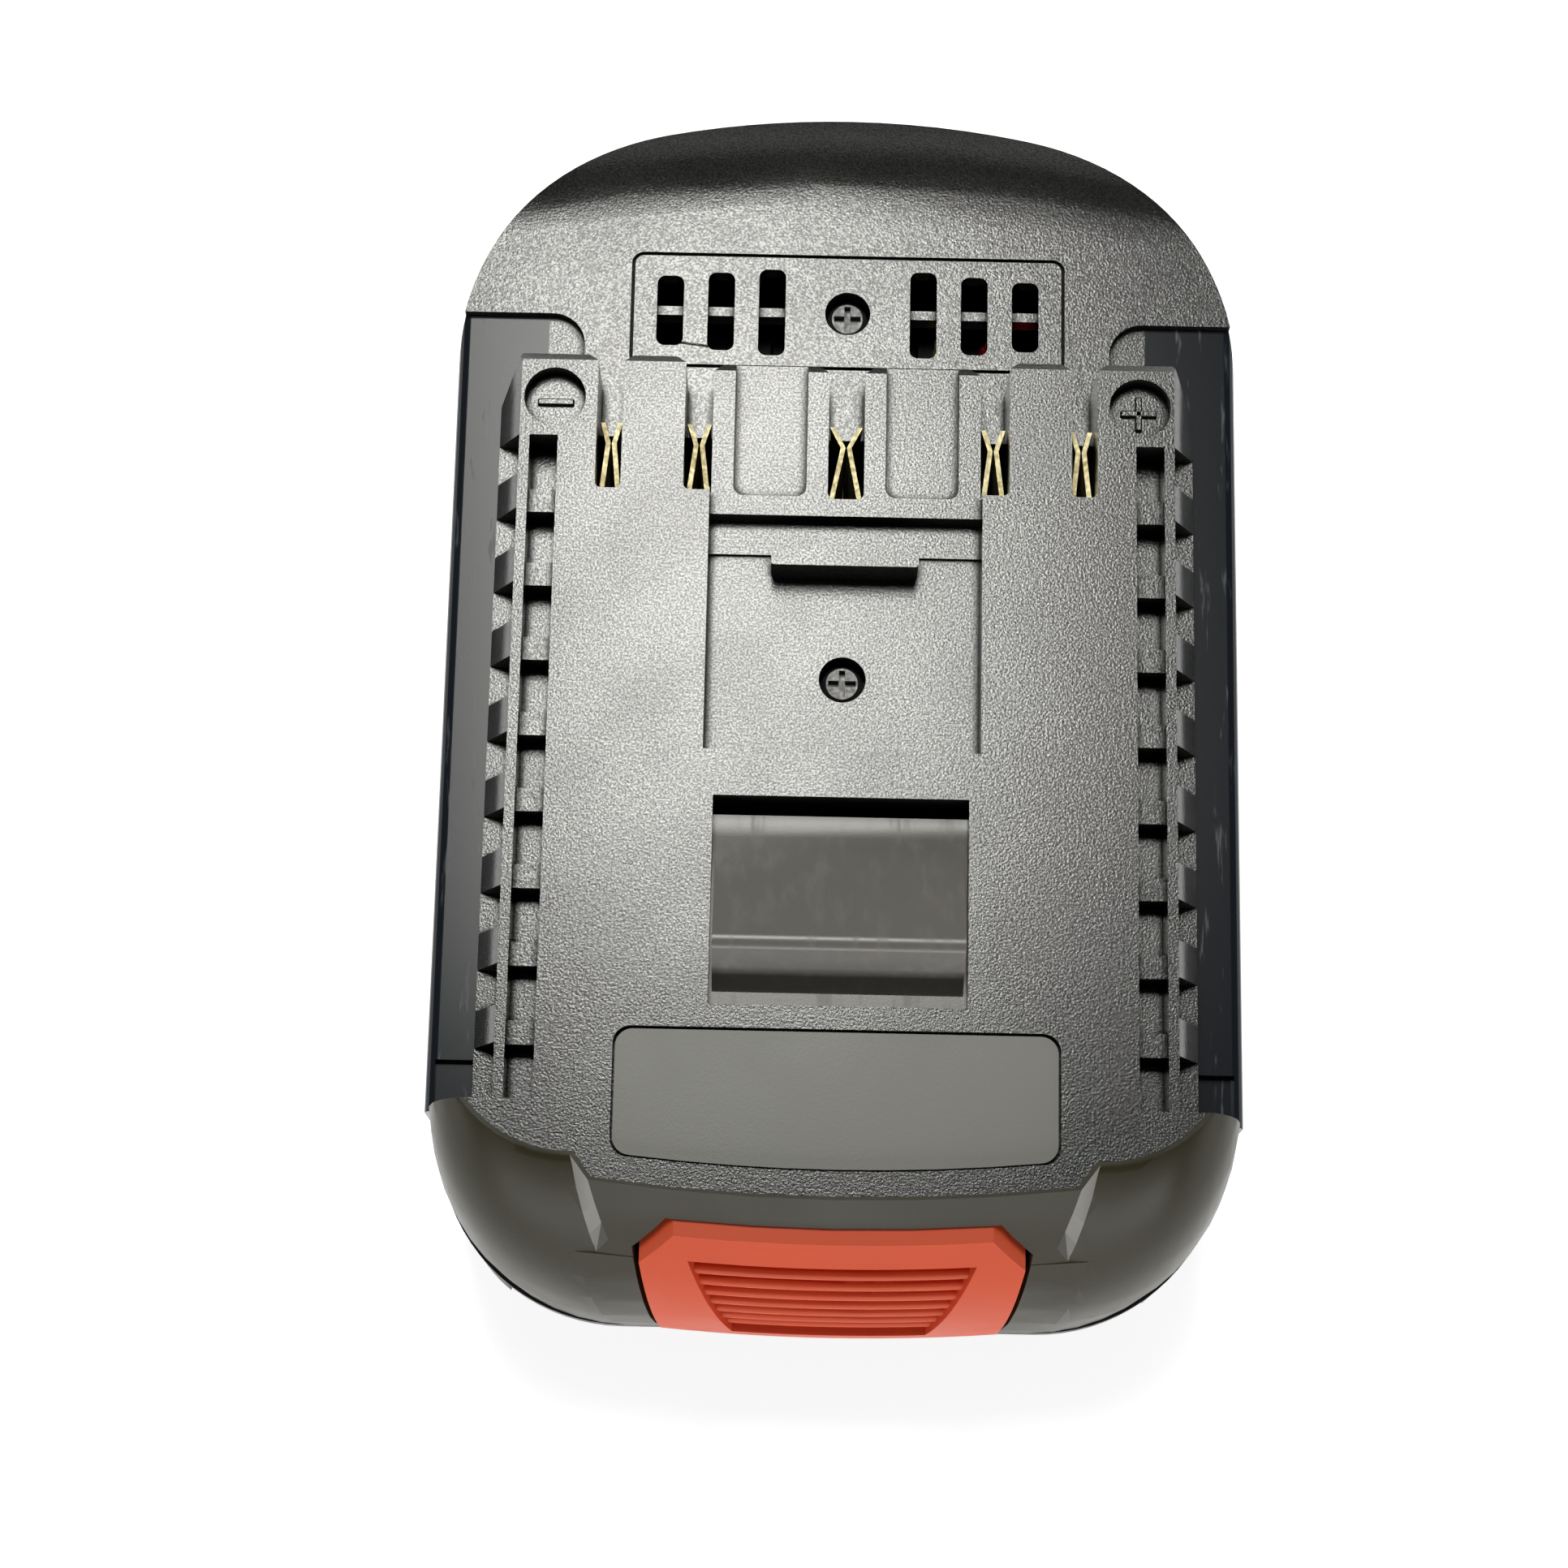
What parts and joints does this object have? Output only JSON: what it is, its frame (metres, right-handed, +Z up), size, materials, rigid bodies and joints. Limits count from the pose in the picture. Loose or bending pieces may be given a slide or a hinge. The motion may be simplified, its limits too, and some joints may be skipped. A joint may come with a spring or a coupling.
{
  "type": "tool battery adapter",
  "caption": "Slide-on adapter with ladder rails, terminal slots, sprung latch and red release button on top, and a slide-in battery bay with blade terminals underneath.",
  "frame": {"origin": "middle of the underside, at the centre of the bounding box in plan", "axes": "+X across, +Y to the rounded hood at the rear, +Z up to the tool"},
  "size_m": [0.0754, 0.119, 0.0464],
  "materials": {
    "grained_plastic": "fine moulded grain, polished in the side trenches",
    "base_plastic": "fine matte",
    "satin_plastic": "smooth satin",
    "latch_plastic": "smooth satin",
    "label": "bare satin film",
    "button_plastic": "satin with moulded ridges",
    "spring_steel": "drawn wire",
    "contact_metal": "tin plated strip",
    "insulator": "moulded",
    "board": "solder mask",
    "component": "moulded package",
    "black_wire": "soft insulation",
    "red_wire": "soft insulation",
    "yellow_wire": "soft insulation",
    "screw_steel": "zinc plated"
  },
  "bodies": {
    "housing": {"top_housing": "grained_plastic", "base_housing": "base_plastic", "front_cover": "satin_plastic", "label_plate": "label", "latch_spring_left": "spring_steel", "latch_spring_right": "spring_steel", "contact_carrier": "insulator", "negative_contact": "contact_metal", "signal_contact_left": "contact_metal", "signal_contact_centre": "contact_metal", "signal_contact_right": "contact_metal", "positive_contact": "contact_metal", "circuit_board": "board", "board_parts": "component", "terminal_block": "insulator", "negative_blade": "contact_metal", "signal_blade": "contact_metal", "positive_blade": "contact_metal", "negative_wire": "black_wire", "signal_wire": "yellow_wire", "positive_wire": "red_wire", "housing_screws": "screw_steel", "base_screws": "screw_steel", "block_screws": "screw_steel"},
    "catch": {"latch": "latch_plastic", "release_button": "button_plastic"}
  },
  "joints": [
    {"name": "latch_slide", "type": "slide", "parent": "housing", "child": "catch", "axis": [0, 0, -1], "range_m": [0, 0.0035], "stiffness_N_per_m": 1500, "springref_m": -0.003, "deforming": ["latch_spring_left", "latch_spring_right"]}
  ]
}
